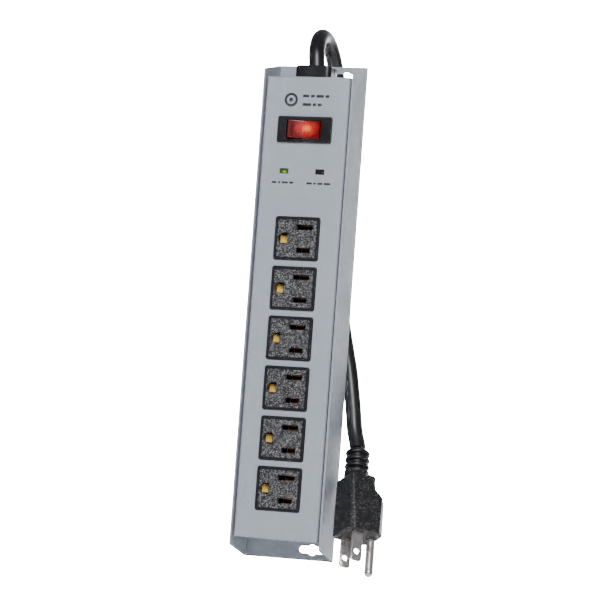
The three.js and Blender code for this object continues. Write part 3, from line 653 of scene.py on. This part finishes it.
def add_tie(look):
    """A band pulled round the runs at the waist of the hank."""
    reach = CORD_RADIUS + 0.1
    right_run, left_run = 0.225, 0.75  # parts of a turn at which the runs pass the waist
    rim = []
    for number in range(TURNS):
        right = (HANK_X + WAIST, FIRST_Y - TURN_PITCH * (number + right_run))
        left = (HANK_X - WAIST, FIRST_Y - TURN_PITCH * (number + left_run))
        for x, y in (right, left):
            rim += arc(x, y, reach, 0, 360, 48)
    inner = hull_of(rim)
    sheet, height = 1.1, 7.2
    centre = Vector((sum(x for x, y in inner), sum(y for x, y in inner))) / len(inner)
    outer = []
    for point in inner:
        away = Vector(point) - centre
        outer.append(tuple(Vector(point) + away.normalized() * sheet))
    band = outline_plate([outer, inner], height, 0.25)
    return piece("hank_band", band, look, ["hank_tie"])


# ---------------------------------------------------------------- plug

def rib_profile():
    """The strain relief: a foot inside the plug, three round ribs and a short sleeve."""
    neck, pitch, swell, half = 5.2, 4, 1.7, 1.35
    foot, end = PLUG_TOP - 1.5, PLUG_TOP + 12.4
    profile = [(0, foot), (6.6, foot), (6.2, PLUG_TOP - 0.4), (5.3, PLUG_TOP + 0.3)]
    for rib in range(3):
        middle = PLUG_TOP + 2.1 + pitch * rib
        for i in range(-4, 5):
            bulge = math.sqrt(1 - (i / 4) ** 2) ** 0.7
            profile.append((neck + swell * bulge, middle + half * i / 4))
    return profile + [(neck, PLUG_TOP + 12), (4.75, end), (0, end)]


def blade_outlines():
    """A blade seen flat and pointing down, and the hole near its tip."""
    half, corner, root = BLADE["width"] / 2, BLADE["corner"], BLADE["root"]
    end = corner - BLADE["length"]
    shape = [
        (-half, root),
        *arc(corner - half, end, corner, 180, 270, 4),
        *arc(half - corner, end, corner, 270, 360, 4),
        (half, root),
    ]
    return [shape, circle(BLADE_HOLE["radius"], 0, -BLADE_HOLE["from_face"])]


def add_plug(body_look, rib_look, metal):
    place = plug_frame()
    body = moulded("plug_body", 0.4, 8, body_look)
    ribs = revolved(rib_profile())
    ribs.transform(place @ Matrix.Translation((0, PLUG_AXIS_Y * MM, 0)))
    pieces = [body, piece("plug_ribs", ribs, rib_look, ["plug_strain_relief"])]

    turned_on_edge = Matrix(((0, 0, 1, 0), (1, 0, 0, 0), (0, 1, 0, 0), (0, 0, 0, 1)))
    for node, way in (("plug_blade_neutral", 1), ("plug_blade_hot", -1)):
        x = way * BLADE_SPACING / 2
        blade = outline_plate(blade_outlines(), BLADE["sheet"], 0.3)
        blade.transform(place @ Matrix.Translation((x * MM, 0, 0)) @ turned_on_edge)
        pieces.append(piece(node + "_plate", blade, metal, [node]))

    radius, root = PIN["radius"], PIN["root"]
    tip = list(arc(0, -PIN["shank"], radius, 0, -84, 8))
    pin = revolved([(0, root), (radius, root), *tip, (0, -PIN["length"])])
    pin.transform(place @ Matrix.Translation((0, PIN["offset"] * MM, 0)))
    pieces.append(piece("plug_pin", pin, metal, ["plug_ground_pin"]))
    return pieces


# ---------------------------------------------------------------- strip

def pushed_back(node, front, limit):
    """A CAD node's mesh with everything in front of limit flattened back to it."""
    data = cad_mesh(node)
    for vertex in data.vertices:
        if vertex.co.y < (front + 0.1) * MM:
            vertex.co.y = limit * MM
    return data


def ground_outline():
    """A ground hole: round to the left, flat with small corners to the right."""
    corner = 0.5
    x = GROUND_X + GROUND_DEPTH - GROUND_RADIUS - corner
    y = GROUND_RADIUS - corner
    return [
        *arc(GROUND_X, 0, GROUND_RADIUS, 90, 270, 14),
        *arc(x, -y, corner, 270, 360, 3),
        *arc(x, y, corner, 0, 90, 3),
    ]


def add_outlets(look):
    outlines = [
        rounded(*OUTLET_FACE, OUTLET_CORNER),
        rounded(*NEUTRAL_SLOT, SLOT_CORNER, SLOT_X, SLOT_Z),
        rounded(*HOT_SLOT, SLOT_CORNER, SLOT_X, -SLOT_Z),
        ground_outline(),
    ]
    for number in range(OUTLETS):
        plate = outline_plate(outlines, OUTLET_PLATE, OUTLET_EDGE)
        facing_front(plate, OUTLET_FRONT, OUTLET_PLATE, FIRST_OUTLET_Z - OUTLET_PITCH * number)
        node = f"outlet_block_{number + 1}"
        block = pushed_back(node, OUTLET_FRONT, OUTLET_FRONT + OUTLET_PLATE - LAP)
        piece(f"outlet_{number + 1}", joined(plate, block), look, [node])


def rocker_outline():
    """A shallow V with fine ridges near its left end and round skirts behind, about the pin."""
    radius = math.hypot(ROCKER_HALF_LENGTH, ROCKER_FLUSH)
    reach = math.degrees(math.atan2(ROCKER_FLUSH, ROCKER_HALF_LENGTH) + ROCKER_TILT)
    crest = -ROCKER_FLUSH / math.cos(ROCKER_TILT)
    left = math.radians(180 + reach)
    left_end = Vector((radius * math.cos(left), radius * math.sin(left)))
    valley = Vector((0, crest))
    ridges = []
    for along in (0.72, 0.80, 0.88):
        for shift, rise in ((-0.022, 0.0), (0.0, 0.24), (0.022, 0.0)):
            ridges.append(tuple(valley.lerp(left_end, along + shift) - Vector((0, rise))))
    return [
        (-0.8, crest - 0.13),
        (0, crest - 0.06),
        (0.8, crest - 0.13),
        *arc(0, 0, radius, -reach, ROCKER_SKIRT, 8),
        *arc(0, 0, radius, 180 - ROCKER_SKIRT, 180 + reach, 8),
        *reversed(ridges),
    ]


def add_switch(housing_look, rocker_look):
    window = rounded(*WINDOW, 0.5, PIVOT[0], 0)
    bezel = outline_plate([rounded(*BEZEL, 1.0, SWITCH_X), window], BEZEL_PLATE, 0.4)
    facing_front(bezel, BEZEL_FRONT, BEZEL_PLATE, SWITCH_Z)
    block = pushed_back("switch_housing", BEZEL_FRONT, BEZEL_FRONT + BEZEL_PLATE - LAP)
    housing = joined(bezel, block)
    piece("switch_frame", housing, housing_look, ["switch_housing"])

    rocker = outline_plate([rocker_outline(), circle(ROCKER_BORE)], ROCKER_HEIGHT, 0.35)
    turn = Matrix.Rotation(ROCKER_TILT, 4, "Z")
    rocker.transform(Matrix.Translation(Vector(PIVOT) * MM) @ turn)
    piece("rocker", rocker, rocker_look, ["switch_rocker"], body=ROCKER)


def add_print(look):
    """Plain marks: a ring and two rows of dashes above the switch, dashes below the lamps."""
    def bar(left, right, z, height):
        return rounded(right - left, height, 0.3, (left + right) / 2, z)

    ring = [circle(radius, *MARK, points=36) for radius in (3.9, 2.5)]
    shapes = [ring, [circle(1.2, *MARK)]]
    rows = {
        117.6: ((-2.4, 1.2), (2.2, 4.4), (5.4, 9.6), (10.6, 12.8)),
        112.8: ((-2.4, 2.6), (3.6, 5.4), (6.4, 8.8)),
        68.9: ((-17.0, -14.2), (-13.4, -12.0), (-11.2, -7.6), (-6.8, -4.4)),
        68.8: ((3.2, 6.4), (7.2, 8.6), (9.4, 12.4), (13.2, 17.0)),
    }
    for z, bars in rows.items():
        height = 1.5 if z > SWITCH_Z else 1.1
        shapes += [[bar(left, right, z, height)] for left, right in bars]
    meshes = [outline_plate(shape, PRINT, 0.01) for shape in shapes]
    print_mesh = facing_front(joined(*meshes), COVER_FRONT - PRINT / 2, PRINT)
    piece("printing", print_mesh, look)


# ---------------------------------------------------------------- stage

def add_stage():
    """A pale floor that sweeps up behind the strip."""
    look = Look("stage", (0.93, 0.93, 0.93), 0.9)
    tone = look.noise(600)
    look.color_between(look.remap(tone, 0.3, 0.7), (0.925, 0.925, 0.925), (0.935, 0.935, 0.935))
    floor, back, bend, reach = -0.55, 2.6, 1.2, 5.0
    profile = [(-reach, floor), (back - bend, floor)]
    for i in range(1, 16):
        a = math.pi / 2 * i / 16
        profile.append((back - bend + bend * math.sin(a), floor + bend - bend * math.cos(a)))
    profile += [(back, floor + bend), (back, 4.0)]
    shell = bmesh.new()
    left = [shell.verts.new((-reach, y, z)) for y, z in profile]
    right = [shell.verts.new((reach, y, z)) for y, z in profile]
    for i in range(len(profile) - 1):
        shell.faces.new((left[i], right[i], right[i + 1], left[i + 1]))
    data = bpy.data.meshes.new("sweep")
    shell.to_mesh(data)
    shell.free()
    shade_smooth(data)
    data.materials.append(look.material)
    add_object("sweep", data)


def add_light(name, place, target, size, power, color=(1, 1, 1), spread=180):
    data = bpy.data.lights.new(name, "AREA")
    data.spread = math.radians(spread)
    data.shape = "RECTANGLE"
    data.size, data.size_y = size
    data.energy = power
    data.color = color
    light = add_object(name, data)
    aim = (Vector(target) - Vector(place)).to_track_quat("-Z", "Y")
    light.matrix_world = Matrix.Translation(place) @ aim.to_matrix().to_4x4()


def add_lights():
    world = bpy.data.worlds.new("world")
    world.use_nodes = True
    background = world.node_tree.nodes["Background"]
    background.inputs["Color"].default_value = (0.93, 0.96, 1.0, 1)
    background.inputs["Strength"].default_value = 0.16
    bpy.context.scene.world = world
    add_light("key", (0.52, -1.8, 0.95), (0, 0, 0.05), (0.7, 0.7), 47, (0.97, 0.985, 1.0))
    add_light("backdrop", (-0.85, 0.9, 1.5), (-0.8, 2.4, 0.15), (0.9, 0.5), 330, spread=70)
    add_light("backdrop_left", (-2.0, 1.2, 0.6), (-0.8, 2.3, 0.1), (0.4, 0.7), 130, spread=70)


# ---------------------------------------------------------------- build

add_camera()
cord_jacket = cord_look()
cord = add_cord(cord_jacket)
tie = add_tie(smooth_black_look("tie_black", 0.5))
nickel = metal_look("nickel_plate", (0.82, 0.77, 0.73), (0.92, 0.88, 0.85), 0.18, 4, 0.9)
plug_black = moulded_black_look("plug_black", 0.42, (0.15, 0.15, 0.155), 0.36)
plug_pieces = add_plug(plug_black, cord_jacket, nickel)

paint = paint_look()
smooth_black = smooth_black_look("smooth_black", 0.3)
piece("base", cad_mesh("base_channel"), paint, ["base_channel"], sharp=30)
piece("cover", cad_mesh("front_cover"), paint, ["front_cover"], sharp=30)
add_outlets(outlet_look())

rocker_glow = lit_lens_look(
    "red_lens",
    (0.07, 0.001, 0.001),
    (0.42, 0.018, 0.014),
    (1.0, 0.40, 0.07),
    (1.6, -30.6, 99.4),
    (6.6, 9, 5.0),
    1.0,
)
add_switch(smooth_black, rocker_glow)
green_glow = lit_lens_look(
    "green_lens",
    (0.02, 0.05, 0.003),
    (0.10, 0.20, 0.015),
    (0.85, 1.0, 0.45),
    (-9.9, -28.7, 74.8),
    (1.7, 3, 0.9),
    1.0,
)
moulded("indicator_lens_green", 0.16, 3, green_glow)
moulded("indicator_lens_dark", 0.16, 3, smooth_black_look("smoked", 0.15))
for node in ("strain_relief_front", "strain_relief_rear"):
    moulded(node, 0.3, 16, smooth_black)
add_print(plain_look("ink", (0.012, 0.014, 0.020), (0.018, 0.020, 0.027), 0.5, 2.0))

brass = metal_look("contact_brass", (1.0, 0.58, 0.10), (1.0, 0.69, 0.18), 0.38, 3, 0.3)
# Bus bars, ground strap and switch terminals: partly the duller tone of phosphor bronze, partly
# painted shade, darkened so the jaws seen through the outlet slots look as dark as the shaded
# slots.
bronze_with_painted_shade = metal_look("bus_bronze_with_painted_shade", (0.42, 0.20, 0.07), (0.55, 0.28, 0.10), 0.4, 3)
steel = metal_look("zinc_steel", (0.54, 0.55, 0.57), (0.66, 0.67, 0.67), 0.3, 3)
CARRIED_OVER = [
    (bronze_with_painted_shade, ["bus_hot", "bus_neutral", "bus_ground", "ground_strap"]),
    (bronze_with_painted_shade, [f"switch_terminal_{i + 1}" for i in range(3)]),
    (brass, [f"ground_contact_{i + 1}" for i in range(OUTLETS)]),
    (steel, ["switch_pivot_pin", "ground_screw", "ground_ring", "thermal_fuse"]),
    (steel, [f"cover_rivet_{i + 1}" for i in range(4)]),
    (glass_look(), ["switch_lamp", "indicator_led_1", "indicator_led_2"]),
    (plain_look("nylon", (0.72, 0.70, 0.64), (0.78, 0.76, 0.70), 0.45), ["bus_carrier"]),
    (plain_look("fish_paper", (0.45, 0.43, 0.36), (0.52, 0.50, 0.43), 0.8), ["insulation_sheet"]),
    (plain_look("solder_mask", (0.02, 0.13, 0.05), (0.03, 0.18, 0.07), 0.35), ["surge_board"]),
    (
        plain_look("varistor_blue", (0.02, 0.07, 0.32), (0.03, 0.10, 0.40), 0.3),
        [f"varistor_{i + 1}" for i in range(3)],
    ),
    (plain_look("white_wire", (0.70, 0.69, 0.65), (0.76, 0.75, 0.71), 0.4), ["lead_neutral"]),
    (plain_look("green_wire", (0.02, 0.20, 0.06), (0.03, 0.26, 0.08), 0.4), ["lead_ground"]),
    (cord_jacket, ["lead_line", "lead_switched"]),
    (smooth_black, ["strain_relief_collar"]),
]
for look, nodes in CARRIED_OVER:
    for node in nodes:
        for material_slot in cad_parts[node].material_slots:
            material_slot.material = look

add_stage()
add_lights()
